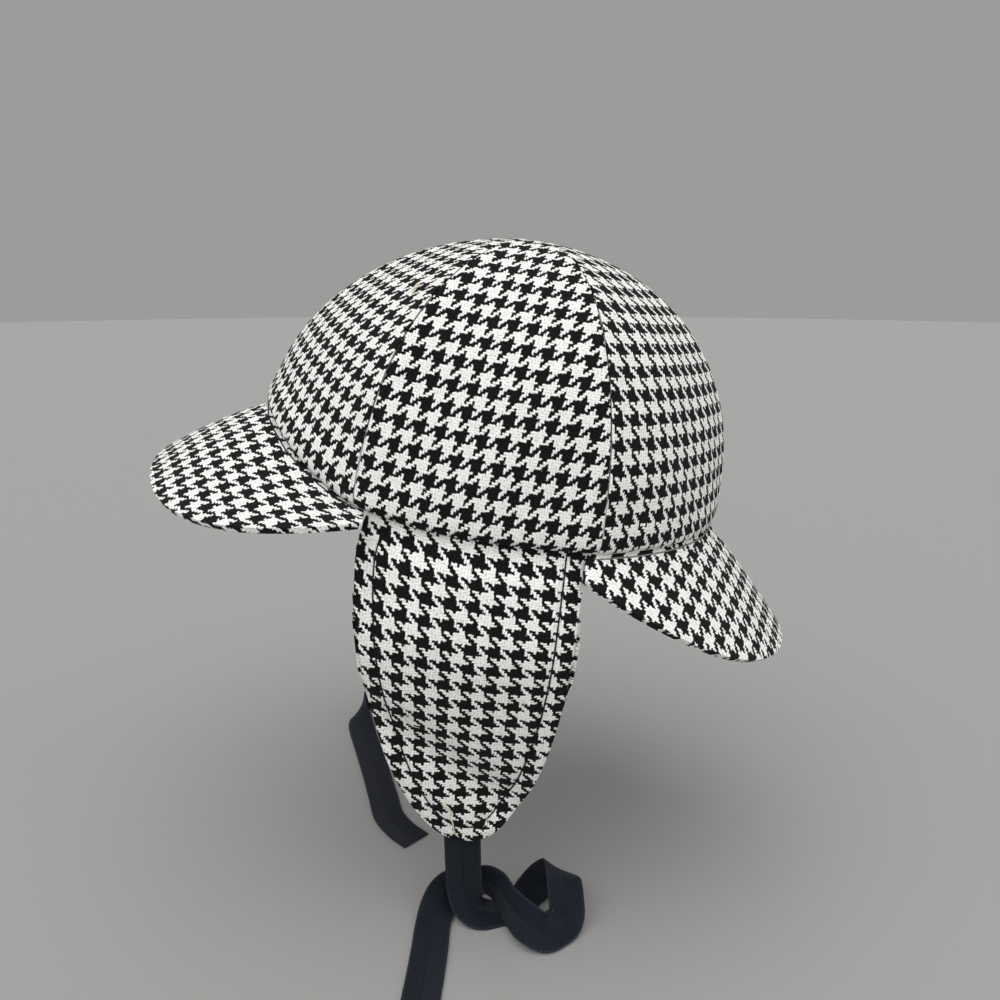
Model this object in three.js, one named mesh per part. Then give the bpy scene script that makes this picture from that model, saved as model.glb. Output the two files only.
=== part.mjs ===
// Deerstalker cap: a crown of six gores, two peaks, two hanging ear flaps and two tape ties.
// Millimetres, +Z up. The front of the cap is towards -X and the wearer's left towards -Y.
// The origin is the middle of the head opening, level with the crown's lower edge at the ears.
import * as THREE from 'three';

// Crown: outside sizes at the lower edge, and the height above it
const RIM_HALF_LENGTH = 103;
const RIM_HALF_WIDTH = 82;
const CROWN_HEIGHT = 113.5;
const FRONT_RISE = 27.5;
const BACK_RISE = 2;
const RISE_SHARPNESS = 2.4;
const GORES = 6;
const RIM_FLATNESS = 0.24;
const TOP_FLATNESS = 0.85;
// The dome is a little fuller than an oval, and sits further back as it rises, while its side seams keep forward
const DOME_FULLNESS = 0.96;
const TOP_SET_BACK = 5.5;
const MIDDLE_SET_BACK = 1;
const SEAM_SWEEP = 0.05;
const EYE_RADIUS = 2.4;

// Cloth, seams and the tilt at which the cap is worn
const CLOTH = 2;
const PEAK_THICKNESS = 3;
const FLAP_THICKNESS = 2.4;
const GAP = 0.3;
const WORN_PITCH = 8.3;

// Peaks: reach is the cut length at the middle, slopes are degrees below the rim plane. The crescent
// would taper out at fullSpan degrees from the middle, and is cut off at halfSpan beside the flaps, where its
// corners lean towards them.
const FRONT_PEAK = {
  reach: 58.8, middleSlope: 30.3, endSlope: 0.4, slopeSpread: 2.6, droop: 13.9, fullSpan: 70, halfSpan: 64.5,
  fullness: 4, roundness: 0.91, cornerLean: 0.6, cornerSpread: 6,
};
const BACK_PEAK = {
  reach: 64, middleSlope: 45.2, endSlope: 37.8, slopeSpread: 2.8, droop: 8, fullSpan: 70.2, halfSpan: 63.5,
  fullness: 2.35, roundness: 1.03, cornerLean: 0.5, cornerSpread: 13,
};

// The run that a peak keeps level or falling while it is under the crown's edge
const PEAK_LEDGE = 3;

// Ear flaps: the back edge is set further from the ear than the front one, and the tip hangs forward
const FLAP_FRONT_ANGLE = 65.5;
const FLAP_BACK_ANGLE = 115.3;
const FLAP_LENGTH = 139;
const FLAP_STRAIGHT = 40;
const FLAP_TIP_FULLNESS = 2.2;
const FLAP_LEVEL_DROP = 64;
const FLAP_TUCK = 8;
const FLAP_SEAT = 0.6;
const FLAP_TIP_SHIFT = -3.5;
const FLAP_FRONT_FLARE = 7;
const FLAP_SIDE_TAPER = 0.083;
const FLAP_HANG = [
  // drop below the rim, distance of the outer face from the middle plane, bow of the section
  { drop: 0, outward: 79.7, bow: 8 },
  { drop: 16, outward: 85.5, bow: 7.5 },
  { drop: 40, outward: 90.5, bow: 6 },
  { drop: 60, outward: 88.5, bow: 5 },
  { drop: 88, outward: 82, bow: 4 },
  { drop: 112, outward: 75.5, bow: 3 },
  { drop: 139, outward: 69.5, bow: 2 },
];
const VALLEY = { drop: 96, slant: 0.75, width: 14, depth: 4 };

// Ties: flat twill tape, sewn behind the flap tips and long enough to lie on a surface below the cap.
// Each row is a point of the middle line, as x, y and height above that surface, and the direction
// from the tape's one edge to its other.
const TAPE_WIDTH = 16;
const TAPE_THICKNESS = 1;
const SURFACE_DROP = 185;
const LEFT_TIE_ROUTE = [
  { at: [-7.5, -68, 59], across: [1, 0, 0] },
  { at: [-7.4, -65.8, 46], across: [1, 0, 0] },
  { at: [-7.3, -65, 34], across: [1, 0, 0] },
  { at: [-7.2, -64, 24], across: [1, 0, 0] },
  { at: [-6.8, -63.4, 15.4], across: [0.98, 0.08, 0.12] },
  { at: [-4.8, -63.8, 9], across: [0.92, 0.27, 0.08] },
  { at: [-0.3, -63.4, 4.8], across: [0.66, 0.74, -0.16] },
  { at: [5, -61, 2], across: [0.15, 0.98, -0.04] },
  { at: [12, -58, 1], across: [-0.04, 1, 0] },
  { at: [18, -52.8, 1.4], across: [-0.3, 0.95, 0.06] },
  { at: [23, -47.6, 4.5], across: [-0.62, 0.72, 0.3] },
  { at: [29.5, -46, 10.5], across: [-0.85, 0.35, 0.38] },
  { at: [35.3, -49, 17], across: [-0.93, 0.2, 0.31] },
  { at: [37.4, -57, 18.8], across: [-0.96, 0.16, 0.22] },
  { at: [38.6, -64.5, 13.6], across: [-0.98, 0, 0.18] },
  { at: [38.8, -69, 7.4], across: [-0.92, -0.1, 0.36] },
  { at: [34.8, -73, 6.4], across: [-0.72, 0.33, 0.6] },
  { at: [29, -76.4, 6.2], across: [-0.3, 0.72, 0.64] },
  { at: [21.4, -74.5, 9.4], across: [-0.08, 0.72, 0.69] },
  { at: [14.3, -67.4, 11.2], across: [-0.08, 0.6, 0.8] },
  { at: [9, -58.8, 12.8], across: [-0.02, 0.4, 0.92] },
  { at: [1.5, -50.8, 10.8], across: [0, -0.1, 1] },
  { at: [-8, -48.8, 9.6], across: [0, -0.3, 0.95] },
  { at: [-15.8, -51.8, 7.8], across: [-0.4, -0.1, 0.9] },
  { at: [-19.6, -60, 3.6], across: [-0.88, 0.25, 0.3] },
  { at: [-20.8, -69, 1], across: [-1, 0.06, 0] },
  { at: [-20.4, -82, 0.8], across: [-1, 0, 0] },
  { at: [-20.3, -95, 0.8], across: [-1, 0, 0] },
  { at: [-20.4, -108, 0.8], across: [-1, 0, 0] },
  { at: [-20.6, -118, 0.8], across: [-1, 0, 0] },
];
const RIGHT_TIE_ROUTE = [
  { at: [-7.5, 68, 59], across: [1, 0, 0] },
  { at: [-7.4, 65.8, 46], across: [1, 0, 0] },
  { at: [-7.5, 65.5, 31], across: [1, 0, 0] },
  { at: [-8.2, 67.5, 18], across: [0.96, 0.1, 0.25] },
  { at: [-11, 75, 10.5], across: [0.7, 0.1, 0.7] },
  { at: [-17, 88, 8.8], across: [0.2, 0.1, 0.97] },
  { at: [-28, 104, 8.6], across: [0, 0, 1] },
  { at: [-43, 118, 8.6], across: [0, 0, 1] },
  { at: [-61, 127, 8.6], across: [0, 0, 1] },
  { at: [-79, 128, 8.6], across: [0, 0, 1] },
  { at: [-91, 120, 8], across: [0.2, 0.1, 0.95] },
  { at: [-92.5, 108, 6.3], across: [0.65, 0.2, 0.7] },
  { at: [-88, 95, 2], across: [0.93, 0.3, 0.15] },
  { at: [-82, 80, 0.8], across: [0.95, 0.3, 0] },
  { at: [-71, 52, 0.8], across: [0.94, 0.34, 0] },
  { at: [-61, 25, 0.8], across: [0.94, 0.34, 0] },
  { at: [-55, 9, 0.8], across: [0.88, 0.45, 0] },
  { at: [-46, -3, 0.8], across: [0.74, 0.66, 0] },
  { at: [-37, -11, 0.8], across: [0.66, 0.75, 0] },
];

const rad = THREE.MathUtils.degToRad;

// Angles of the seams, an equal run of the lower edge apart, from the front round the wearer's left
function seamAngles() {
  const steps = 3600;
  const angles = [0];
  const length = [0];
  for (let i = 1; i <= steps; i += 1) {
    const a = (2 * Math.PI * (i - 0.5)) / steps;
    const speed = Math.hypot(RIM_HALF_LENGTH * Math.sin(a), RIM_HALF_WIDTH * Math.cos(a));
    length.push(length[i - 1] + (speed * 2 * Math.PI) / steps);
  }
  for (let k = 1; k <= GORES; k += 1) {
    const target = (length[steps] * k) / GORES;
    const i = length.findIndex((run) => run >= target - 1e-9);
    angles.push((2 * Math.PI * i) / steps);
  }
  return angles;
}
const SEAMS = seamAngles();

// How far a panel lies inside or outside the plain oval: flat across, with a crease at each seam
function crease(angle, flatness, gore) {
  const middle = (SEAMS[gore] + SEAMS[gore + 1]) / 2;
  const half = (SEAMS[gore + 1] - SEAMS[gore]) / 2;
  const flat = Math.cos(half) / Math.cos(angle - middle);
  return 1 - flatness + (flatness * flat) / Math.sqrt(Math.cos(half));
}

function goreAt(angle) {
  const turn = 2 * Math.PI;
  const wrapped = ((angle % turn) + turn) % turn;
  return Math.min(SEAMS.filter((seam) => seam <= wrapped).length - 1, GORES - 1);
}

// Outside of the crown at an angle round the head and a rise from the lower edge (0) to the top (90 degrees)
function crownPoint(angle, rise, inset, gore = goreAt(angle)) {
  const flatness = RIM_FLATNESS + (TOP_FLATNESS - RIM_FLATNESS) * Math.sin(rise);
  const out = Math.cos(rise) ** DOME_FULLNESS * crease(angle, flatness, gore);
  const turned = angle - SEAM_SWEEP * Math.sin(angle) * Math.sin(2 * rise);
  const forward = Math.cos(turned);
  const side = Math.sin(turned);
  const lift = FRONT_RISE * Math.max(forward, 0) ** RISE_SHARPNESS
    + BACK_RISE * Math.max(-forward, 0) ** RISE_SHARPNESS;
  const point = new THREE.Vector3(
    -RIM_HALF_LENGTH * out * forward + TOP_SET_BACK * Math.sin(rise) + MIDDLE_SET_BACK * Math.sin(2 * rise),
    -RIM_HALF_WIDTH * out * side,
    CROWN_HEIGHT * Math.sin(rise) + lift * (1 - Math.sin(rise)) ** 1.5,
  );
  const outward = new THREE.Vector3(
    (-forward * Math.cos(rise)) / RIM_HALF_LENGTH,
    (-side * Math.cos(rise)) / RIM_HALF_WIDTH,
    Math.sin(rise) / CROWN_HEIGHT,
  ).normalize();
  return point.addScaledVector(outward, -inset);
}

// Closed body between two sheets, each a function of two runs from 0 to 1. The facing sheet looks
// along the column run crossed with the row run.
function closedSheet(columns, rows, facing, backing) {
  const across = columns + 1;
  const sheetSize = across * (rows + 1);
  const positions = [];
  for (const sheet of [facing, backing]) {
    for (let r = 0; r <= rows; r += 1) {
      for (let c = 0; c <= columns; c += 1) {
        positions.push(...sheet(c / columns, r / rows).toArray());
      }
    }
  }
  const faces = [];
  const quad = (a, b, c, d) => faces.push(a, b, c, a, c, d);
  for (let r = 0; r < rows; r += 1) {
    for (let c = 0; c < columns; c += 1) {
      const a = r * across + c;
      const b = a + 1;
      const d = a + across;
      quad(a, b, d + 1, d);
      quad(a + sheetSize, d + sheetSize, d + 1 + sheetSize, b + sheetSize);
    }
  }
  const edge = [];
  for (let c = 0; c < columns; c += 1) edge.push(c);
  for (let r = 0; r < rows; r += 1) edge.push(r * across + columns);
  for (let c = columns; c > 0; c -= 1) edge.push(rows * across + c);
  for (let r = rows; r > 0; r -= 1) edge.push(r * across);
  edge.forEach((from, i) => {
    const to = edge[(i + 1) % edge.length];
    quad(to, from, from + sheetSize, to + sheetSize);
  });
  const geometry = new THREE.BufferGeometry();
  geometry.setAttribute('position', new THREE.Float32BufferAttribute(positions, 3));
  geometry.setIndex(faces);
  geometry.computeVertexNormals();
  return geometry;
}

const houndstooth = new THREE.MeshStandardMaterial({ color: 0x8b8a88, roughness: 0.92, metalness: 0 });
const twillTape = new THREE.MeshStandardMaterial({ color: 0x17171b, roughness: 0.8, metalness: 0 });

function named(name, geometry, material) {
  const mesh = new THREE.Mesh(geometry, material);
  mesh.name = name;
  return mesh;
}

// One panel of the crown, from the lower edge to just short of the top
function crownGore(gore) {
  const topRise = Math.acos((EYE_RADIUS / RIM_HALF_WIDTH) ** (1 / DOME_FULLNESS));
  const at = (inset) => (c, r) => {
    const rise = topRise * r;
    const seamGap = GAP / 2 / (RIM_HALF_WIDTH * Math.cos(rise));
    const from = SEAMS[gore] + seamGap;
    const to = SEAMS[gore + 1] - seamGap;
    return crownPoint(from + (to - from) * c, rise, inset, gore);
  };
  return closedSheet(8, 12, at(0), at(CLOTH));
}

// A stiff crescent that springs from under the crown's edge and slopes down and out
function peak(shape, middleAngle) {
  const halfSpan = rad(shape.halfSpan);
  const at = (lift) => (c, r) => {
    const turn = 2 * c - 1;
    const angle = middleAngle + turn * halfSpan;
    const spanShare = Math.abs(turn) * (shape.halfSpan / shape.fullSpan);
    const length = shape.reach * (1 - spanShare ** shape.fullness) ** (1 / shape.roundness);
    const rootSlope = shape.middleSlope + (shape.endSlope - shape.middleSlope) * spanShare ** shape.slopeSpread;
    const spread = new THREE.Vector3(
      -Math.cos(angle) / RIM_HALF_LENGTH,
      -Math.sin(angle) / RIM_HALF_WIDTH,
      0,
    ).normalize();
    const lean = shape.cornerLean * Math.sign(turn) * Math.abs(turn) ** shape.cornerSpread;
    spread.addScaledVector(new THREE.Vector3(-spread.y, spread.x, 0), lean).normalize();
    const point = crownPoint(angle, 0, CLOTH + GAP);
    point.z -= GAP;
    const slopeAt = (run) => {
      const slope = rootSlope + shape.droop * (run / shape.reach - 0.5);
      return rad(run < PEAK_LEDGE ? Math.max(slope, 0) : slope);
    };
    const steps = Math.ceil(r * length);
    const step = (r * length) / Math.max(steps, 1);
    for (let i = 0; i < steps; i += 1) {
      const slope = slopeAt((i + 0.5) * step);
      point.addScaledVector(spread, step * Math.cos(slope));
      point.z -= step * Math.sin(slope);
    }
    const slope = slopeAt(r * length);
    point.addScaledVector(spread, -lift * Math.sin(slope));
    point.z -= lift * Math.cos(slope);
    return point;
  };
  return closedSheet(20, 5, at(PEAK_THICKNESS), at(0));
}

// Value of a column of the hang table at a drop, eased smoothly from row to row
function hang(column, drop) {
  const last = FLAP_HANG.length - 1;
  let i = FLAP_HANG.findIndex((row) => row.drop > drop) - 1;
  if (i < 0) i = last - 1;
  const value = (k) => FLAP_HANG[Math.min(Math.max(k, 0), last)][column];
  const place = (k) => FLAP_HANG[Math.min(Math.max(k, 0), last)].drop;
  const span = place(i + 1) - place(i);
  const s = Math.min((drop - place(i)) / span, 1);
  const slopeAt = (k) => {
    const width = place(k + 1) - place(k - 1);
    return ((value(k + 1) - value(k - 1)) / width) * span;
  };
  const h = s * s * (3 - 2 * s);
  return value(i) + (value(i + 1) - value(i)) * h
    + slopeAt(i) * s * (1 - s) ** 2 - slopeAt(i + 1) * s * s * (1 - s);
}

// A double cloth flap, sewn inside the crown's edge, that hangs over the ear to a rounded tip
function earFlap() {
  const pitch = new THREE.Matrix4().makeRotationY(rad(WORN_PITCH));
  const at = (depth) => (column, r) => {
    // columns lie closer together towards the sides, where the outline turns
    const c = 0.45 * column + 0.275 * (1 - Math.cos(Math.PI * column));
    const across = 2 * c - 1;
    const angle = rad(FLAP_FRONT_ANGLE + (FLAP_BACK_ANGLE - FLAP_FRONT_ANGLE) * c);
    const inset = CLOTH + FLAP_SEAT + depth;
    const tuckShare = FLAP_TUCK / (FLAP_TUCK + FLAP_LENGTH);
    if (r <= tuckShare) {
      const rise = ((1 - r / tuckShare) * FLAP_TUCK) / CROWN_HEIGHT;
      return crownPoint(angle, rise, inset, 1).applyMatrix4(pitch);
    }
    const tip = Math.max(1 - Math.abs(across) ** FLAP_TIP_FULLNESS, 0) ** (1 / FLAP_TIP_FULLNESS);
    const columnLength = FLAP_STRAIGHT + (FLAP_LENGTH - FLAP_STRAIGHT) * tip;
    const drop = columnLength * ((r - tuckShare) / (1 - tuckShare));
    const rim = crownPoint(angle, 0, inset, 1).applyMatrix4(pitch);
    const valleyLine = VALLEY.drop + VALLEY.slant * (rim.x + 10);
    const valley = VALLEY.depth * Math.exp(-(((drop - valleyLine) / VALLEY.width) ** 2));
    const level = Math.min(drop / FLAP_LEVEL_DROP, 1);
    const flare = FLAP_FRONT_FLARE * (1 - c) ** 1.5 * (1 - Math.exp(-drop / 9));
    const bow = hang('bow', drop) * across * across;
    return new THREE.Vector3(
      rim.x - flare - FLAP_SIDE_TAPER * drop * across + FLAP_TIP_SHIFT * (drop / FLAP_LENGTH),
      THREE.MathUtils.lerp(rim.y, -(hang('outward', drop) - depth - bow - valley), Math.min(drop / 12, 1)),
      rim.z * (1 - level) - drop,
    );
  };
  return closedSheet(14, 16, at(FLAP_THICKNESS), at(0));
}

// A flat tape along a route, its width turned to the direction that each row gives
function tape(route, stepsPerRow) {
  const middle = new THREE.CatmullRomCurve3(
    route.map(({ at: [x, y, height] }) => new THREE.Vector3(x, y, height - SURFACE_DROP)),
  );
  const widths = new THREE.CatmullRomCurve3(route.map(({ across }) => new THREE.Vector3(...across)));
  const at = (side) => (c, r) => {
    const along = middle.getTangent(r);
    const width = widths.getPoint(r);
    width.addScaledVector(along, -width.dot(along)).normalize();
    const face = new THREE.Vector3().crossVectors(width, along);
    return middle.getPoint(r)
      .addScaledVector(width, (c - 0.5) * TAPE_WIDTH)
      .addScaledVector(face, (side * TAPE_THICKNESS) / 2);
  };
  return closedSheet(1, Math.round((route.length - 1) * stepsPerRow), at(1), at(-1));
}

function mirrored(geometry) {
  const copy = geometry.clone().scale(1, -1, 1);
  const faces = copy.getIndex();
  for (let i = 0; i < faces.count; i += 3) {
    const first = faces.getX(i);
    faces.setX(i, faces.getX(i + 1));
    faces.setX(i + 1, first);
  }
  copy.computeVertexNormals();
  return copy;
}

const cap = new THREE.Group();
const worn = new THREE.Group();
worn.rotation.y = rad(WORN_PITCH);
cap.add(worn);

const GORE_NAMES = ['front_left', 'left', 'back_left', 'back_right', 'right', 'front_right'];
GORE_NAMES.forEach((place, gore) => {
  worn.add(named(`crown_gore_${place}`, crownGore(gore), houndstooth));
});
worn.add(named('front_peak', peak(FRONT_PEAK, 0), houndstooth));
worn.add(named('back_peak', peak(BACK_PEAK, Math.PI), houndstooth));

const leftFlap = earFlap();
cap.add(named('left_ear_flap', leftFlap, houndstooth));
cap.add(named('right_ear_flap', mirrored(leftFlap), houndstooth));

cap.add(named('left_tie', tape(LEFT_TIE_ROUTE, 1.7), twillTape));
cap.add(named('right_tie', tape(RIGHT_TIE_ROUTE, 1.6), twillTape));

export default cap;
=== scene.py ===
# Deerstalker cap in houndstooth wool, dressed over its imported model.
# Metres in the scene, millimetres in the shape functions; +Z up, the front of the cap towards -X.
import math

import bpy
from mathutils import Matrix, Vector, noise


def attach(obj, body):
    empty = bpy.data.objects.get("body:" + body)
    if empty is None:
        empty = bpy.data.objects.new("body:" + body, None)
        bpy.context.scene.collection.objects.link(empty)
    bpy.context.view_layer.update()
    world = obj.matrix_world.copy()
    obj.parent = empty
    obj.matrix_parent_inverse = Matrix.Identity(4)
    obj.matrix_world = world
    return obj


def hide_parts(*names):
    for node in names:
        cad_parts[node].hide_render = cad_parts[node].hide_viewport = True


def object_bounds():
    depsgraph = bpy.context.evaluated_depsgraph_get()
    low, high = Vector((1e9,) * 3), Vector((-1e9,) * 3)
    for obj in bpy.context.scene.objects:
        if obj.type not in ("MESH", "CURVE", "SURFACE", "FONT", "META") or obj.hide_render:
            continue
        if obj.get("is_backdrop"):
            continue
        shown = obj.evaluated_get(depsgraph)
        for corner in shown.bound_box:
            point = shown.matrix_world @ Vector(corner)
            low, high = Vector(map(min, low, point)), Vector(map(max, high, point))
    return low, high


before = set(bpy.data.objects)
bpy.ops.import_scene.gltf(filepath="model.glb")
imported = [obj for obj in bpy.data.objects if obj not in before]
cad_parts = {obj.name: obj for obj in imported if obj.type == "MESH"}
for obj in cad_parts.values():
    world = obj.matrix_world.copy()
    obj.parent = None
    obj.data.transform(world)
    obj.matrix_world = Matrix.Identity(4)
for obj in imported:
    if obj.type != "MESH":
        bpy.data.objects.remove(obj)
cad_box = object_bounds()
MM = 0.001

# Camera of the picture: eye point in millimetres, and its right, up and backward directions
EYE = Vector((26.7, -383.0, 96.6))
RIGHT = Vector((0.99847, 0.05531, 0.0))
FORWARD = Vector((-0.05349, 0.96525, -0.25580))
LENS = 30.35

camera_data = bpy.data.cameras.new("picture_camera")
camera_data.lens = LENS
camera_data.sensor_width = 36.0
camera_data.clip_start = 0.01
camera_data.clip_end = 50.0
camera = bpy.data.objects.new("picture_camera", camera_data)
bpy.context.collection.objects.link(camera)
upward = RIGHT.cross(FORWARD).normalized()
turn = Matrix((RIGHT, upward, -FORWARD)).transposed().to_4x4()
camera.matrix_world = Matrix.Translation(EYE * MM) @ turn
bpy.context.scene.camera = camera

# ---------------------------------------------------------------- sizes, in millimetres
RIM_HALF_LENGTH, RIM_HALF_WIDTH, CROWN_HEIGHT = 103, 82, 113.5
FRONT_RISE, BACK_RISE, RISE_SHARPNESS = 27.5, 2, 2.4
RIM_FLATNESS, TOP_FLATNESS = 0.24, 0.85
DOME_FULLNESS, TOP_SET_BACK, MIDDLE_SET_BACK, SEAM_SWEEP = 0.96, 5.5, 1.0, 0.05
CLOTH, GAP = 2.0, 0.3
WORN_PITCH = math.radians(8.3)
FRONT_PEAK = dict(reach=58.8, middle_slope=30.3, end_slope=0.4, slope_spread=2.6, droop=13.9, full_span=70,
                  half_span=64.5, fullness=4, roundness=0.91, corner_lean=0.6, corner_spread=6)
BACK_PEAK = dict(reach=64, middle_slope=45.2, end_slope=37.8, slope_spread=2.8, droop=8, full_span=70.2,
                 half_span=64.5, fullness=2.35, roundness=1.03, corner_lean=0.5, corner_spread=13)
PEAK_LEDGE, PEAK_THICKNESS = 3, 3.0
FLAP_FRONT_ANGLE, FLAP_BACK_ANGLE = 65.5, 115.3
FLAP_LENGTH, FLAP_STRAIGHT, FLAP_TIP_FULLNESS, FLAP_LEVEL_DROP = 139, 40, 2.2, 64
FLAP_TUCK, FLAP_SEAT, FLAP_THICKNESS = 8, 0.6, 2.4
FLAP_TIP_SHIFT, FLAP_FRONT_FLARE, FLAP_SIDE_TAPER = -3.5, 7, 0.083
FLAP_HANG = {  # drop below the rim: distance of the outer face from the middle plane, bow of the section
    0: (79.7, 8), 16: (85.5, 7.5), 40: (90.5, 6), 60: (88.5, 5), 88: (82, 4), 112: (75.5, 3), 139: (69.5, 2),
}
VALLEY_DROP, VALLEY_SLANT, VALLEY_WIDTH, VALLEY_DEPTH = 96, 0.75, 14, 4
TAPE_WIDTH, TAPE_THICKNESS, SURFACE_DROP = 16, 1.0, 185
STITCH_INSET, STITCH_LENGTH, SEWING_THREAD = 7.6, 2.9, 0.7
EDGE_ROLL = (0.7, 1.3)  # how far the crown's turned edge bulges all round, and how much more at the front
EDGE_TURN, TOP_DIP = 1.5, 1.0  # radius of the crown's turned edge, and the dip where its six points meet
SEAM_GAP, SEAM_ROLL, SEAM_PULL, SEAM_SWELL = 0.05, 0.25, 0.1, 0.2  # half a seam's opening, and the cloth beside it
PEAK_EDGE, FLAP_EDGE_ROUND, TAPE_EDGE = 1.1, 0.8, 0.25  # how far each kind of edge is rounded
RIB_PITCH, PICK_PITCH, SELVEDGE = 1.05, 0.7, 7.0  # tape: its ribs, drawn coarse enough to show, picks, and selvedge

# How the houndstooth lies on each piece: its quarter turns, one repeat across and one up (millimetres, about 8 by 9
# on the flat cloth), and the threads it starts with. One repeat is eight threads each way.
REPEAT = 8
CLOTH_LAY = {
    "front_left": (2, (7.8, -0.65), (-0.05, 8.5), (1.3, 5.1)),
    "left": (0, (8.2, -0.15), (0.6, 9.3), (4.5, 1.4)),
    "back_left": (3, (7.85, 0.3), (1.15, 9.5), (3.6, 2.8)),
    "back_right": (3, (7.85, -0.3), (-1.15, 9.5), (2.0, 5.0)),
    "right": (0, (8.2, 0.15), (-0.6, 9.3), (6.0, 1.0)),
    "front_right": (2, (7.8, 0.65), (0.05, 8.5), (3.0, 0.5)),
    "front_peak": (1, (6.85, 4.35), (-5.0, 8.6), (0.1, 4.8)),
    "back_peak": (3, (9.05, -1.55), (3.05, 10.0), (1.5, 4.0)),
    "left_ear_flap": (3, (9.1, 0.5), (-0.25, 8.15), (7.8, 7.1)),
    "right_ear_flap": (1, (9.1, -0.5), (0.25, 8.15), (2.0, 3.0)),
}

# Tie routes: middle line as x, y and height above the surface, and the way across the tape
LEFT_TIE_ROUTE = [
    ((-7.5, -68, 59), (1, 0, 0)),
    ((-7.4, -65.8, 46), (1, 0, 0)),
    ((-7.3, -65, 34), (1, 0, 0)),
    ((-7.2, -64, 24), (1, 0, 0)),
    ((-6.8, -63.4, 15.4), (0.98, 0.08, 0.12)),
    ((-4.8, -63.8, 9), (0.92, 0.27, 0.08)),
    ((-0.3, -63.4, 4.8), (0.66, 0.74, -0.16)),
    ((5, -61, 2), (0.15, 0.98, -0.04)),
    ((12, -58, 1), (-0.04, 1, 0)),
    ((18, -52.8, 1.4), (-0.3, 0.95, 0.06)),
    ((23, -47.6, 4.5), (-0.62, 0.72, 0.3)),
    ((29.5, -46, 10.5), (-0.85, 0.35, 0.38)),
    ((35.3, -49, 17), (-0.93, 0.2, 0.31)),
    ((37.4, -57, 18.8), (-0.96, 0.16, 0.22)),
    ((38.6, -64.5, 13.6), (-0.98, 0, 0.18)),
    ((38.8, -69, 7.4), (-0.92, -0.1, 0.36)),
    ((34.8, -73, 6.4), (-0.72, 0.33, 0.6)),
    ((29, -76.4, 6.2), (-0.3, 0.72, 0.64)),
    ((21.4, -74.5, 9.4), (-0.08, 0.72, 0.69)),
    ((14.3, -67.4, 11.2), (-0.08, 0.6, 0.8)),
    ((9, -58.8, 12.8), (-0.02, 0.4, 0.92)),
    ((1.5, -50.8, 10.8), (0, -0.1, 1)),
    ((-8, -48.8, 9.6), (0, -0.3, 0.95)),
    ((-15.8, -51.8, 7.8), (-0.4, -0.1, 0.9)),
    ((-19.6, -60, 3.6), (-0.88, 0.25, 0.3)),
    ((-20.8, -69, 1), (-1, 0.06, 0)),
    ((-20.4, -82, 0.8), (-1, 0, 0)),
    ((-20.3, -95, 0.8), (-1, 0, 0)),
    ((-20.4, -108, 0.8), (-1, 0, 0)),
    ((-20.6, -118, 0.8), (-1, 0, 0)),
]
RIGHT_TIE_ROUTE = [
    ((-7.5, 68, 59), (1, 0, 0)),
    ((-7.4, 65.8, 46), (1, 0, 0)),
    ((-7.5, 65.5, 31), (1, 0, 0)),
    ((-8.2, 67.5, 18), (0.96, 0.1, 0.25)),
    ((-11, 75, 10.5), (0.7, 0.1, 0.7)),
    ((-17, 88, 8.8), (0.2, 0.1, 0.97)),
    ((-28, 104, 8.6), (0, 0, 1)),
    ((-43, 118, 8.6), (0, 0, 1)),
    ((-61, 127, 8.6), (0, 0, 1)),
    ((-79, 128, 8.6), (0, 0, 1)),
    ((-91, 120, 8), (0.2, 0.1, 0.95)),
    ((-92.5, 108, 6.3), (0.65, 0.2, 0.7)),
    ((-88, 95, 2), (0.93, 0.3, 0.15)),
    ((-82, 80, 0.8), (0.95, 0.3, 0)),
    ((-71, 52, 0.8), (0.94, 0.34, 0)),
    ((-61, 25, 0.8), (0.94, 0.34, 0)),
    ((-55, 9, 0.8), (0.88, 0.45, 0)),
    ((-46, -3, 0.8), (0.74, 0.66, 0)),
    ((-37, -11, 0.8), (0.66, 0.75, 0)),
]


def seam_angles():
    """Angles of the six seams, an equal run of the lower edge apart."""
    steps = 3600
    runs, length = [0.0], 0.0
    for i in range(1, steps + 1):
        a = 2 * math.pi * (i - 0.5) / steps
        length += math.hypot(RIM_HALF_LENGTH * math.sin(a), RIM_HALF_WIDTH * math.cos(a)) * 2 * math.pi / steps
        runs.append(length)
    angles = [0.0]
    for k in range(1, 7):
        reached = next(i for i, run in enumerate(runs) if run >= length * k / 6 - 1e-9)
        angles.append(2 * math.pi * reached / steps)
    return angles


SEAMS = seam_angles()


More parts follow.
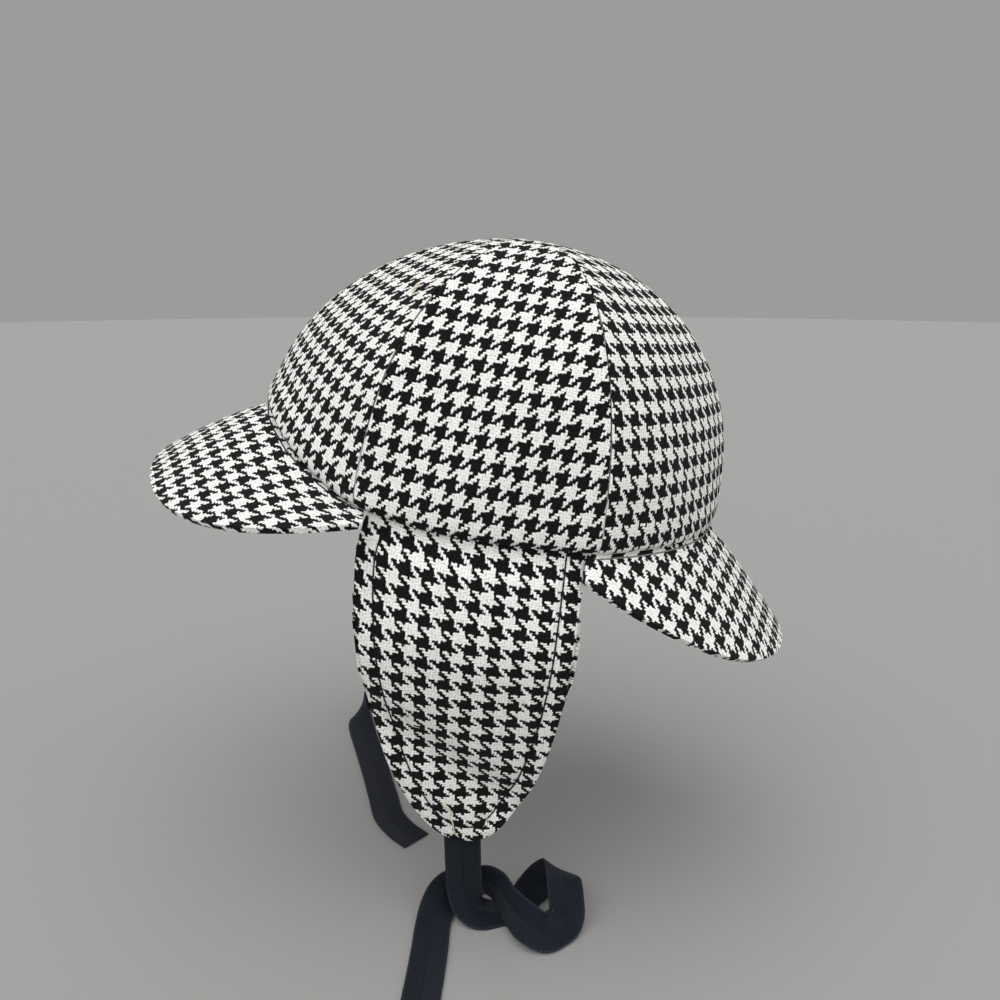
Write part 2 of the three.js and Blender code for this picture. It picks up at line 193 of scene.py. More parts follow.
def crown_point(angle, rise, inset, gore):
    """Outside of the crown at an angle round the head and a rise from the lower edge to the top."""
    flatness = RIM_FLATNESS + (TOP_FLATNESS - RIM_FLATNESS) * math.sin(rise)
    middle = (SEAMS[gore] + SEAMS[gore + 1]) / 2
    half = (SEAMS[gore + 1] - SEAMS[gore]) / 2
    crease = 1 - flatness + flatness * math.cos(half) / math.cos(angle - middle) / math.sqrt(math.cos(half))
    out = math.cos(rise) ** DOME_FULLNESS * crease
    turned = angle - SEAM_SWEEP * math.sin(angle) * math.sin(2 * rise)
    forward, side = math.cos(turned), math.sin(turned)
    lift = FRONT_RISE * max(forward, 0) ** RISE_SHARPNESS + BACK_RISE * max(-forward, 0) ** RISE_SHARPNESS
    point = Vector((
        -RIM_HALF_LENGTH * out * forward + TOP_SET_BACK * math.sin(rise) + MIDDLE_SET_BACK * math.sin(2 * rise),
        -RIM_HALF_WIDTH * out * side,
        CROWN_HEIGHT * math.sin(rise) + lift * (1 - math.sin(rise)) ** 1.5,
    ))
    outward = Vector((
        -forward * math.cos(rise) / RIM_HALF_LENGTH,
        -side * math.cos(rise) / RIM_HALF_WIDTH,
        math.sin(rise) / CROWN_HEIGHT,
    )).normalized()
    return point - outward * inset


def gore_at(angle):
    wrapped = angle % (2 * math.pi)
    return min(sum(seam <= wrapped for seam in SEAMS) - 1, 5)


PITCH = Matrix.Rotation(WORN_PITCH, 3, "Y")


def smooth(x):
    x = min(max(x, 0.0), 1.0)
    return x * x * (3 - 2 * x)


def roll(distance, radius):
    """How far a turned edge drops away within its rolling radius."""
    near = min(max(1 - distance / radius, 0.0), 1.0)
    return radius * (1 - math.sqrt(1 - near * near))


def denser_at_ends(t, share=0.55):
    return (1 - share) * t + share * (1 - math.cos(math.pi * t)) / 2


def on_cloth(x, y, lay):
    """A place on a piece laid flat, in millimetres, counted in threads of its cloth."""
    quarters, across, up, begin = lay
    area = (across[0] * up[1] - across[1] * up[0]) / REPEAT
    u, v = (x * up[1] - y * up[0]) / area + begin[0], (y * across[0] - x * across[1]) / area + begin[1]
    for _ in range(quarters):
        u, v = v, -u
    return u, v


def woven_sheet(name, columns, rows, place, cut):
    """A grid set out by place(c, r) in millimetres; cut(c, r) is its place on the flat cloth, kept as the UV map."""
    bpy.ops.object.select_all(action="DESELECT")
    bpy.ops.mesh.primitive_grid_add(x_subdivisions=columns, y_subdivisions=rows, size=1)
    piece = bpy.context.object
    piece.name = piece.data.name = name
    mesh = piece.data
    cuts = []
    for vertex in mesh.vertices:
        c, r = vertex.co.x + 0.5, vertex.co.y + 0.5
        cuts.append(cut(c, r))
        vertex.co = place(c, r) * MM
    flat = mesh.uv_layers.active.data
    for loop in mesh.loops:
        flat[loop.index].uv = cuts[loop.vertex_index]
    return piece


def finish_with(piece, kind, **settings):
    """Adds one modifier with its settings and applies it."""
    bpy.ops.object.select_all(action="DESELECT")
    piece.select_set(True)
    bpy.context.view_layer.objects.active = piece
    modifier = piece.modifiers.new(kind.lower(), kind)
    for setting, value in settings.items():
        setattr(modifier, setting, value)
    bpy.ops.object.modifier_apply(modifier=modifier.name)


def thicken(piece, thickness, edge, angle=65):
    """Gives a sheet its thickness, inwards, carries the weave over its edge, and rounds the edge."""
    group = "thickness" if "thickness" in piece.vertex_groups else ""
    sheet = len(piece.data.vertices)
    finish_with(piece, "SOLIDIFY", thickness=thickness * MM, offset=-1, use_quality_normals=True,
                vertex_group=group, thickness_vertex_group=0.25)
    wrap_weave(piece.data, sheet, thickness * MM)
    if edge:
        finish_with(piece, "BEVEL", width=edge * MM, segments=3, limit_method="ANGLE",
                    angle_limit=math.radians(angle))
    bpy.ops.object.shade_smooth_by_angle(angle=math.radians(50))


def wrap_weave(mesh, sheet, thickness):
    """Lets the pattern run on over the edge faces, from the outer face's vertices (the first) to their copies."""
    flat = mesh.uv_layers.active.data
    edge_faces = [f for f in mesh.polygons if len({v < sheet for v in f.vertices}) == 2]
    edge = {v for f in edge_faces for v in f.vertices if v < sheet}
    at = {loop.vertex_index: flat[loop.index].uv.copy() for loop in mesh.loops}
    linked = {v: [] for v in edge}
    for a, b in (e.vertices for e in mesh.edges):
        for here, there in ((a, b), (b, a)):
            if here in edge and there < sheet:
                linked[here].append(there)
    onward = {}
    for v, others in linked.items():
        others = [o for o in others if o not in edge] or others
        steps = [(at[v] - at[o]) / max((mesh.vertices[v].co - mesh.vertices[o].co).length, 1e-5) for o in others]
        onward[v] = at[v] + sum(steps, Vector((0, 0))) / len(steps) * thickness
    for face in edge_faces:
        for k in face.loop_indices:
            v = mesh.loops[k].vertex_index
            if v >= sheet:
                flat[k].uv = onward[v - sheet]


def belongs(piece, material, slot, *nodes):
    piece.data.materials.clear()
    piece.data.materials.append(material)
    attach(piece, "root")
    if nodes:
        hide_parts(*nodes)
    return piece


# ---------------------------------------------------------------- materials
def linear(hex_colour):
    """An sRGB hex colour as linear RGBA."""
    values = [int(hex_colour[i:i + 2], 16) / 255 for i in (1, 3, 5)]
    return [v / 12.92 if v <= 0.04045 else ((v + 0.055) / 1.055) ** 2.4 for v in values] + [1.0]


def add(tree, kind, sockets, **settings):
    """Adds a node with its settings, and links or sets its sockets. A node stands for its first output."""
    made = tree.nodes.new(kind)
    for setting, value in settings.items():
        setattr(made, setting, value)
    for socket, value in sockets.items():
        if isinstance(value, bpy.types.Node):
            value = value.outputs[0]
        if isinstance(value, bpy.types.NodeSocket):
            tree.links.new(value, made.inputs[socket])
        else:
            made.inputs[socket].default_value = value
    return made


def new_material(name):
    material = bpy.data.materials.new(name)
    material.use_nodes = True
    material.node_tree.nodes.clear()
    return material, material.node_tree


def woven_wool_houndstooth():
    """Woollen houndstooth in two-and-two twill, four black and four cream threads each way. Each thread lies over two
    and under two, so single floats stand out as dashes where black meets cream. The yarn is carded: its edges are
    ragged, black hairs cross the cream, and the surface is matt with a faint bloom."""
    material, tree = new_material("woven_wool_houndstooth")
    math_node, vector_node, mix_node = "ShaderNodeMath", "ShaderNodeVectorMath", "ShaderNodeMix"
    weave = add(tree, "ShaderNodeUVMap", {})  # one unit a thread
    # threads wander within the cloth, and fibres stray from the threads
    place = weave
    for scale, detail, reach in ((0.16, 1.0, 0.9), (1.2, 3.0, 1.15), (3.4, 2.0, 0.5)):
        stray = add(tree, "ShaderNodeTexNoise", {"Vector": weave, "Scale": scale, "Detail": detail},
                    noise_dimensions="2D")
        stray = add(tree, vector_node, {0: stray.outputs["Color"], 1: (0.5, 0.5, 0.5)}, operation="SUBTRACT")
        stray = add(tree, vector_node, {0: stray, 3: reach}, operation="SCALE")
        place = add(tree, vector_node, {0: place, 1: stray}, operation="ADD")
    spot = add(tree, "ShaderNodeSeparateXYZ", {0: place})
    cell = add(tree, "ShaderNodeSeparateXYZ", {0: add(tree, vector_node, {0: place}, operation="FLOOR")})
    # a thread's height: its rise and fall along the float, its round back, and the hairier black yarn a little higher
    heights, backs, dark = [], [], []
    for k, (phase, offset) in enumerate(((0.0, 2.0), (math.pi / 2, 0.0))):
        along = add(tree, math_node, {0: spot.outputs[1 - k], 1: cell.outputs[k]}, operation="SUBTRACT")
        along = add(tree, math_node, {0: along, 1: math.pi / 2, 2: phase}, operation="MULTIPLY_ADD")
        rise = add(tree, math_node, {0: along}, operation="COSINE")
        across = add(tree, math_node, {0: spot.outputs[k], 1: cell.outputs[k]}, operation="SUBTRACT")
        back = add(tree, math_node, {0: add(tree, math_node, {0: across, 1: math.pi}, operation="MULTIPLY")},
                   operation="SINE")
        backs.append(back)
        count = add(tree, math_node, {0: cell.outputs[k], 1: offset}, operation="ADD")
        count = add(tree, math_node, {0: count, 1: 8.0}, operation="FLOORED_MODULO")
        dark.append(add(tree, math_node, {0: count, 1: 3.5}, operation="LESS_THAN"))
        height = add(tree, math_node, {0: back, 1: 1.25, 2: rise}, operation="MULTIPLY_ADD")
        heights.append(add(tree, math_node, {0: dark[k], 1: 0.32, 2: height}, operation="MULTIPLY_ADD"))
    first_on_top = add(tree, math_node, {0: heights[0], 1: heights[1]}, operation="GREATER_THAN")
    black = add(tree, mix_node, {0: first_on_top, 2: dark[1], 3: dark[0]}, data_type="FLOAT")
    back = add(tree, mix_node, {0: first_on_top, 2: backs[1], 3: backs[0]}, data_type="FLOAT")
    height = add(tree, math_node, {0: heights[0], 1: heights[1]}, operation="MAXIMUM")
    # yarn colours: cream a little uneven, black with paler fibres in it
    nap = add(tree, "ShaderNodeTexNoise", {"Vector": weave, "Scale": 2.6, "Detail": 3.0, "Roughness": 0.7},
              noise_dimensions="2D")
    fibres = add(tree, "ShaderNodeMapRange", {0: nap, 1: 0.38, 2: 0.72, 3: 0.0, 4: 1.0})
    blotch = add(tree, "ShaderNodeTexNoise", {"Vector": weave, "Scale": 0.5, "Detail": 3.0}, noise_dimensions="2D")
    cream = add(tree, mix_node, {0: blotch, 6: linear("#e6e6e3"), 7: linear("#fdfdfb")}, data_type="RGBA")
    soot = add(tree, mix_node, {0: fibres, 6: linear("#010204"), 7: linear("#2b2a28")}, data_type="RGBA")
    yarn = add(tree, mix_node, {0: black, 6: cream.outputs[2], 7: soot.outputs[2]}, data_type="RGBA")
    # painted shade: the colour is darker down between the threads, where shade falls in the gaps
    painted_gap_shade = add(tree, "ShaderNodeMapRange", {0: back, 1: 0.0, 2: 0.6, 3: 0.5, 4: 1.0})
    colour = add(tree, mix_node, {0: 1.0, 6: yarn.outputs[2], 7: painted_gap_shade}, data_type="RGBA", blend_type="MULTIPLY")
    relief = add(tree, math_node, {0: nap, 1: 0.6, 2: height}, operation="MULTIPLY_ADD")
    bump = add(tree, "ShaderNodeBump", {"Strength": 0.6, "Distance": 0.00025, "Height": relief})
    shader = add(tree, "ShaderNodeBsdfPrincipled", {
        "Base Color": colour.outputs[2], "Roughness": 0.95, "Specular IOR Level": 0.06, "Sheen Weight": 0.03,
        "Sheen Roughness": 0.5, "Normal": bump,
    })
    add(tree, "ShaderNodeOutputMaterial", {0: shader})
    return material


def woven_herringbone_tape():
    """Black polyester herringbone tape: two fields of diagonal ribs that meet on the middle line, and a firm
    selvedge. Light and shade are painted into its colour: lighter on the ribs, where they catch the light, darker on
    the ground between them and along the middle line."""
    material, tree = new_material("woven_herringbone_tape")
    math_node = "ShaderNodeMath"
    flat = add(tree, "ShaderNodeSeparateXYZ", {0: add(tree, "ShaderNodeUVMap", {})})
    side = add(tree, math_node, {0: flat.outputs[0]}, operation="ABSOLUTE")
    slant = add(tree, math_node, {0: side, 1: flat.outputs[1]}, operation="ADD")
    turns = add(tree, math_node, {0: slant, 1: 2 * math.pi / RIB_PITCH}, operation="MULTIPLY")
    rib = add(tree, math_node, {0: add(tree, math_node, {0: turns}, operation="SINE"), 1: 0.5, 2: 0.5},
              operation="MULTIPLY_ADD")
    edge = add(tree, "ShaderNodeMapRange", {0: side, 1: SELVEDGE, 2: SELVEDGE + 0.3, 3: 0.0, 4: 1.0})
    picks = add(tree, math_node, {0: flat.outputs[1], 1: 2 * math.pi / PICK_PITCH}, operation="MULTIPLY")
    picks = add(tree, math_node, {0: add(tree, math_node, {0: picks}, operation="SINE"), 1: 0.25, 2: 0.75},
                operation="MULTIPLY_ADD")
    relief = add(tree, "ShaderNodeMix", {0: edge, 2: rib, 3: picks}, data_type="FLOAT")
    spine = add(tree, "ShaderNodeMapRange", {0: side, 1: 0.0, 2: 0.35, 3: 0.35, 4: 1.0})
    relief = add(tree, math_node, {0: relief.outputs[0], 1: spine}, operation="MULTIPLY")
    lint = add(tree, "ShaderNodeTexNoise", {"Vector": add(tree, "ShaderNodeUVMap", {}), "Scale": 1.2, "Detail": 3.0},
               noise_dimensions="2D")
    # painted highlight and shade: the colour follows the rib relief, lighter on the rib crests and picks, darker in
    # the grooves and along the middle line; the lint noise adds uneven tone
    lint_and_painted_rib_light = add(tree, math_node, {0: lint, 1: 0.35, 2: relief}, operation="MULTIPLY_ADD")
    colour = add(tree, "ShaderNodeMix", {0: lint_and_painted_rib_light, 6: linear("#010203"), 7: linear("#232934")}, data_type="RGBA")
    bump = add(tree, "ShaderNodeBump", {"Strength": 1.0, "Distance": 0.00035, "Height": relief})
    shader = add(tree, "ShaderNodeBsdfPrincipled", {
        "Base Color": colour.outputs[2], "Roughness": 0.6, "Specular IOR Level": 0.14, "Sheen Weight": 0.02,
        "Sheen Roughness": 0.4, "Normal": bump,
    })
    add(tree, "ShaderNodeOutputMaterial", {0: shader})
    return material


def twisted_strand(name, dark, light, gloss):
    """A twisted strand, sewing thread or yarn, a little uneven in colour."""
    material, tree = new_material(name)
    place = add(tree, "ShaderNodeTexCoord", {})
    twist = add(tree, "ShaderNodeTexNoise", {"Vector": place.outputs["Object"], "Scale": 2400.0, "Detail": 1.0})
    colour = add(tree, "ShaderNodeMix", {0: twist, 6: linear(dark), 7: linear(light)}, data_type="RGBA")
    bump = add(tree, "ShaderNodeBump", {"Strength": 0.4, "Distance": 0.0001, "Height": twist})
    shader = add(tree, "ShaderNodeBsdfPrincipled", {
        "Base Color": colour.outputs[2], "Roughness": 0.6, "Specular IOR Level": gloss, "Normal": bump,
    })
    add(tree, "ShaderNodeOutputMaterial", {0: shader})
    return material


houndstooth = woven_wool_houndstooth()
herringbone = woven_herringbone_tape()
black_thread = twisted_strand("black_polyester_thread", "#050506", "#17171a", 0.2)
grey_thread = twisted_strand("grey_polyester_thread", "#5c5c5a", "#8d8d8a", 0.2)
cream_yarn = twisted_strand("cream_wool_strand", "#b4ab90", "#f0ead6", 0.1)
CLOTH_SLOT, TAPE_SLOT = "houndstooth_cloth", "twill_tape"


# ---------------------------------------------------------------- threads
def thread_line(name, path, radius, material):
    """A closed tube of sewing thread along a path in millimetres, drawn to a point at each end."""
    sides, steps = 6, len(path) - 1

    def place(c, r):
        i = round(r * steps)
        along = (path[min(i + 1, steps)] - path[max(i - 1, 0)]).normalized()
        beside = along.cross(Vector((0.3, 1, 0.2))).normalized()
        around = math.cos(2 * math.pi * c) * beside + math.sin(2 * math.pi * c) * along.cross(beside)
        return path[i] + around * radius * (0 if i in (0, steps) else 1)

    piece = woven_sheet(name, sides, steps, place, lambda c, r: (c, r))
    bpy.ops.object.mode_set(mode="EDIT")
    bpy.ops.mesh.select_all(action="SELECT")
    bpy.ops.mesh.remove_doubles(threshold=1e-6)
    bpy.ops.mesh.normals_make_consistent(inside=False)
    bpy.ops.object.mode_set(mode="OBJECT")
    bpy.ops.object.shade_smooth()
    belongs(piece, material, CLOTH_SLOT)


# ---------------------------------------------------------------- ties
def catmull(points, t):
    """Centripetal Catmull-Rom through the points; t runs from 0 to 1 over the rows."""
    last = len(points) - 1
    place = t * last
    k = min(int(place), last - 1)
    s = place - k
    p1, p2 = points[k], points[k + 1]
    p0 = points[k - 1] if k > 0 else 2 * points[0] - points[1]
    p3 = points[k + 2] if k + 2 <= last else 2 * points[last] - points[last - 1]
    d0, d1, d2 = (max((b - a).length_squared ** 0.25, 1e-4) for a, b in ((p0, p1), (p1, p2), (p2, p3)))
    m1 = ((p1 - p0) / d0 - (p2 - p0) / (d0 + d1) + (p2 - p1) / d1) * d1
    m2 = ((p2 - p1) / d1 - (p3 - p1) / (d1 + d2) + (p3 - p2) / d2) * d1
    return (p1 + m1 * s + (3 * (p2 - p1) - 2 * m1 - m2) * s * s + (2 * (p1 - p2) + m1 + m2) * s ** 3)


def tie(name, route, steps):
    """A flat tape along its route, from behind the flap's tip to its free end."""
    line = [Vector((x, y, height - SURFACE_DROP)) for (x, y, height), _ in route]
    widths = [Vector(across) for _, across in route]
    points = [catmull(line, i / steps) for i in range(steps + 1)]
    runs = [0.0]
    for a, b in zip(points, points[1:]):
        runs.append(runs[-1] + (b - a).length)

    def place(c, r):
        i = round(r * steps)
        along = (catmull(line, min(r + 1e-4, 1.0)) - catmull(line, max(r - 1e-4, 0.0))).normalized()
        width = catmull(widths, r)
        width = (width - along * width.dot(along)).normalized()
        face = width.cross(along)
        across = (c - 0.5) * TAPE_WIDTH
        # woven tape is never quite flat: it cups a little and its selvedges stand up
        cup = 0.35 * (2 * c - 1) ** 2 * math.sin(runs[i] / 31) + 0.15 * math.sin(runs[i] / 7 + 5 * c)
        return points[i] + width * across + face * (TAPE_THICKNESS / 2 - 0.1 + 0.4 * cup)

    piece = woven_sheet(name + "_tape", 16, steps, place,
                        lambda c, r: ((c - 0.5) * TAPE_WIDTH, runs[round(r * steps)]))
    thicken(piece, TAPE_THICKNESS - 0.2, TAPE_EDGE)
    belongs(piece, herringbone, TAPE_SLOT, name)
    [p * MM for p in points[::2]]
    return piece


tie("left_tie", LEFT_TIE_ROUTE, 232)
tie("right_tie", RIGHT_TIE_ROUTE, 180)


# ---------------------------------------------------------------- crown
def edge_roll(angle):
    return EDGE_ROLL[0] + EDGE_ROLL[1] * max(math.cos(angle), 0) ** 2


def crown_gore(name, gore):
    """One panel: pressed flat between its seams, drawn into the seams at its sides, its lower edge turned under."""
    columns, rows = 46, 60
    top_rise = math.acos((0.6 / RIM_HALF_WIDTH) ** (1 / DOME_FULLNESS))
    middle = (SEAMS[gore] + SEAMS[gore + 1]) / 2
    half = (SEAMS[gore + 1] - SEAMS[gore]) / 2
    rises = [top_rise * denser_at_ends(i / rows) for i in range(rows + 1)]
    heights, breadths = [0.0], []
    for i, rise in enumerate(rises):
        if i:
            step = crown_point(middle, rise, 0, gore) - crown_point(middle, rises[i - 1], 0, gore)
            heights.append(heights[-1] + step.length)
        arc = [crown_point(middle + half * (2 * k / 12 - 1), rise, 0, gore) for k in range(13)]
        breadths.append(sum((b - a).length for a, b in zip(arc, arc[1:])))
    tall = heights[-1]

    def place(c, r):
        i = round(r * rows)
        side = denser_at_ends(c, 0.85)
        rise, run, breadth = rises[i], heights[i], breadths[i]
        to_seam = min(side, 1 - side) * breadth
        seam_gap = SEAM_GAP / (RIM_HALF_WIDTH * math.cos(rise))
        angle = middle + (half - seam_gap) * (2 * side - 1)
        point = crown_point(angle, rise, 0, gore)
        # seam allowances lie double beside the seams and along the lower edge
        swell = SEAM_SWELL * smooth(1 - abs(to_seam - 4) / 3.5)
        swell += edge_roll(angle) * smooth(min(run / 4, (20 - run) / 15))
        inset = roll(to_seam, SEAM_ROLL) + SEAM_PULL * smooth(1 - to_seam / 2) + roll(run, EDGE_TURN) - swell
        ease = smooth(to_seam / 12) * smooth(run / 12) * smooth((tall - run) / 14)
        inset += ease * 1.1 * noise.noise(point * 0.028 + Vector((gore * 7.0, 0, 0)))
        inset += ease * 0.35 * noise.noise(point * 0.085 + Vector((0, gore * 5.0, 3)))
        # the top dips where the six points meet
        inset += TOP_DIP * smooth(1 - (tall - run) / 6)
        return PITCH @ crown_point(angle, rise, inset, gore)

    def cut(c, r):
        i = round(r * rows)
        return on_cloth((denser_at_ends(c, 0.85) - 0.5) * breadths[i], heights[i], CLOTH_LAY[name])

    piece = woven_sheet("crown_panel_" + name, columns, rows, place, cut)
    thicken(piece, CLOTH - 0.2, 0)
    return belongs(piece, houndstooth, CLOTH_SLOT, "crown_gore_" + name)


for gore, gore_name in enumerate(("front_left", "left", "back_left", "back_right", "right", "front_right")):
    crown_gore(gore_name, gore)


# ---------------------------------------------------------------- peaks
def peak_start(shape, middle_angle, turn):
    """Where a run of the peak starts under the crown's edge, its way out, its full length and its first slope."""
    angle = middle_angle + turn * math.radians(shape["half_span"])
    share = abs(turn) * shape["half_span"] / shape["full_span"]
    length = shape["reach"] * (1 - share ** shape["fullness"]) ** (1 / shape["roundness"])
    slope = shape["middle_slope"] + (shape["end_slope"] - shape["middle_slope"]) * share ** shape["slope_spread"]
    spread = Vector((-math.cos(angle) / RIM_HALF_LENGTH, -math.sin(angle) / RIM_HALF_WIDTH, 0)).normalized()
    lean = shape["corner_lean"] * math.copysign(abs(turn) ** shape["corner_spread"], turn)
    spread = (spread + Vector((-spread.y, spread.x, 0)) * lean).normalized()
    root = crown_point(angle, 0, CLOTH + GAP, gore_at(angle)) - Vector((0, 0, GAP))
    return root, spread, length, slope


def peak_point(shape, middle_angle, turn, run):
    """A point of the peak's upper face, a run out from its start."""
    root, spread, _, root_slope = peak_start(shape, middle_angle, turn)
    steps = max(math.ceil(run), 1)
    point, step = root.copy(), run / steps
    for i in range(steps):
        at = (i + 0.5) * step
        slope = root_slope + shape["droop"] * (at / shape["reach"] - 0.5)
        slope = math.radians(max(slope, 0) if at < PEAK_LEDGE else slope)
        point += (spread * math.cos(slope) - Vector((0, 0, math.sin(slope)))) * step
    wave = 0.35 * smooth(run / 10) * noise.noise(point * 0.03 + Vector((9, 0, 0)))
    return PITCH @ (point - Vector((0, 0, 0.15 - wave)))


def peak(name, shape, middle_angle):
    """A stiff crescent from under the crown's edge, two cloth faces over a board, with a rounded edge."""

    def place(c, r):
        turn = 1 - 2 * c
        length = peak_start(shape, middle_angle, turn)[2]
        return peak_point(shape, middle_angle, turn, length * denser_at_ends(r))

    def cut(c, r):
        root, spread, length, _ = peak_start(shape, middle_angle, 1 - 2 * c)
        flat = root + spread * length * denser_at_ends(r)
        return on_cloth(flat.x, flat.y, CLOTH_LAY[name])

    piece = woven_sheet(name + "_cloth", 120, 30, place, cut)
    thicken(piece, PEAK_THICKNESS - 0.3, PEAK_EDGE)
    belongs(piece, houndstooth, CLOTH_SLOT, name)


def join_seam(name, shape, middle_angle, material, radius):
    """The last row of sewing, which shows as a fine line on the peak along the crown's rolled edge."""
    path = []
    for i in range(161):
        turn = 0.98 * (i / 80 - 1)
        angle = middle_angle + turn * math.radians(shape["half_span"])
        run = CLOTH + GAP + edge_roll(angle) - 0.6 + 0.25 * noise.noise(Vector((angle * 9, 4, 0)))
        path.append(peak_point(shape, middle_angle, turn, run) + Vector((0, 0, 0.1)))
    thread_line(name, path, radius, material)


peak("front_peak", FRONT_PEAK, 0.0)
peak("back_peak", BACK_PEAK, math.pi)
join_seam("front_peak_join", FRONT_PEAK, 0.0, black_thread, 0.3)
join_seam("back_peak_join", BACK_PEAK, math.pi, grey_thread, 0.35)


# ---------------------------------------------------------------- ear flaps
def hang(column, drop):
    """A column of the hang table at a drop, eased from row to row."""
    drops = list(FLAP_HANG)
    last = len(drops) - 1
    i = next((k for k, d in enumerate(drops) if d > drop), last) - 1
    at = lambda k: FLAP_HANG[drops[min(max(k, 0), last)]][column]
    row = lambda k: drops[min(max(k, 0), last)]
    span = row(i + 1) - row(i)
    s = min((drop - row(i)) / span, 1)
    slope = lambda k: (at(k + 1) - at(k - 1)) / (row(k + 1) - row(k - 1)) * span
    eased = s * s * (3 - 2 * s)
    return (at(i) + (at(i + 1) - at(i)) * eased + slope(i) * s * (1 - s) ** 2 - slope(i + 1) * s * s * (1 - s))


TUCK_SHARE = FLAP_TUCK / (FLAP_TUCK + FLAP_LENGTH)


def flap_pattern(c, r):
    """A point of the flap laid flat: along the ear, and down from the crown's edge."""
    across = 2 * c - 1
    angle = math.radians(FLAP_FRONT_ANGLE + (FLAP_BACK_ANGLE - FLAP_FRONT_ANGLE) * c)
    rim_x = (PITCH @ crown_point(angle, 0, CLOTH + FLAP_SEAT, 1)).x
    if r <= TUCK_SHARE:
        return rim_x, -(1 - r / TUCK_SHARE) * FLAP_TUCK, rim_x
    tip = max(1 - abs(across) ** FLAP_TIP_FULLNESS, 0) ** (1 / FLAP_TIP_FULLNESS)
    drop = (FLAP_STRAIGHT + (FLAP_LENGTH - FLAP_STRAIGHT) * tip) * (r - TUCK_SHARE) / (1 - TUCK_SHARE)
    flare = FLAP_FRONT_FLARE * (1 - c) ** 1.5 * (1 - math.exp(-drop / 9))
    return rim_x - flare - FLAP_SIDE_TAPER * drop * across + FLAP_TIP_SHIFT * drop / FLAP_LENGTH, drop, rim_x


def flap_outline(steps):
    """The flap's free edge laid flat, from the front corner round the tip to the back corner."""
    sides = [(0.0, TUCK_SHARE + (1 - TUCK_SHARE) * i / steps) for i in range(steps)]
    sides += [((1 - math.cos(math.pi * i / (2 * steps))) / 2, 1.0) for i in range(2 * steps)]
    sides += [(1.0, 1 - (1 - TUCK_SHARE) * i / steps) for i in range(steps + 1)]
    return [(Vector(flap_pattern(c, r)[:2]), c, r) for c, r in sides]


FLAP_EDGE = flap_outline(44)


def flap_cut():
    """The flap as it was cut, in millimetres: its width, and its length and area measured along the cloth."""
    steps, edge = 30, [p.x for p, _, _ in FLAP_EDGE]
    net = [[flap_point(i / steps, j / steps, 0) for i in range(steps + 1)] for j in range(steps + 1)]

    def run(points):
        return sum((b - a).length for a, b in zip(points, points[1:]))

    area = sum((low[i + 1] - high[i]).cross(low[i] - high[i + 1]).length / 2
               for high, low in zip(net, net[1:]) for i in range(steps))
    return max(edge) - min(edge), run([row[steps // 2] for row in net]), area


def edge_distance(x, drop):
    return math.sqrt(min((x - p.x) ** 2 + (drop - p.y) ** 2 for p, _, _ in FLAP_EDGE))


def flap_point(c, r, depth):
    """A point of the hanging flap, depth below its outer face."""
    across = 2 * c - 1
    angle = math.radians(FLAP_FRONT_ANGLE + (FLAP_BACK_ANGLE - FLAP_FRONT_ANGLE) * c)
    inset = CLOTH + FLAP_SEAT + depth
    if r <= TUCK_SHARE:
        rise = (1 - r / TUCK_SHARE) * FLAP_TUCK / CROWN_HEIGHT
        return PITCH @ crown_point(angle, rise, inset, 1)
    x, drop, rim_x = flap_pattern(c, r)
    rim = PITCH @ crown_point(angle, 0, inset, 1)
    line = VALLEY_DROP + VALLEY_SLANT * (rim_x + 10)
    valley = VALLEY_DEPTH * math.exp(-(((drop - line) / VALLEY_WIDTH) ** 2))
    bow = hang(1, drop) * across * across
    level = min(drop / FLAP_LEVEL_DROP, 1)
    ease = min(drop / 12, 1)
    y = rim.y + (-(hang(0, drop) - depth - bow - valley) - rim.y) * ease
    return Vector((x, y, rim.z * (1 - level) - drop))


def flap_relief(x, drop, near, side):
    """Depth of the flap's cloth: full between the edge and the stitches, and pulled in along them."""
    pull = math.exp(-((near - STITCH_INSET) / 1.2) ** 2)
    puff = smooth(near / 2) * smooth((STITCH_INSET + 14 - near) / 14)
    depth = 0.85 * pull - 0.4 * puff - 0.2
    return depth + 0.5 * smooth(near / 10) * noise.noise(Vector((x, drop, side * 9)) * 0.045), pull


def mirrored(point, side):
    return Vector((point.x, point.y * -side, point.z))


def ear_flap(name, side):
    """Two cloth faces, turned and topstitched near the edge."""
    columns, rows = 64, 92
    thickness = []

    def runs(c, r):
        c = denser_at_ends(c if side < 0 else 1 - c)
        return c, 1 - r * (1 - 0.45 * r) / 0.55 * 0.35 - 0.65 * r

    def place(c, r):
        c, r = runs(c, r)
        x, drop, _ = flap_pattern(c, r)
        near = edge_distance(x, drop)
        depth, pull = flap_relief(x, drop, near, side)
        thickness.append(max(0.0, 1 - 0.9 * pull - 0.35 * smooth(1 - near / 2)))
        return mirrored(flap_point(c, r, depth * smooth((r - TUCK_SHARE) * 12)), side)

    def cut(c, r):
        x, drop, _ = flap_pattern(*runs(c, r))
        turned = Matrix.Rotation(WORN_PITCH * 0.8, 2) @ Vector((x, -drop))
        return on_cloth(turned.x * -side, turned.y, CLOTH_LAY[name])

    piece = woven_sheet(name + "_cloth", columns, rows, place, cut)
    group = piece.vertex_groups.new(name="thickness")
    for index, weight in enumerate(thickness):
        group.add([index], weight, "REPLACE")
    thicken(piece, FLAP_THICKNESS, FLAP_EDGE_ROUND)
    belongs(piece, houndstooth, CLOTH_SLOT, name)
    width, length, area = flap_cut()


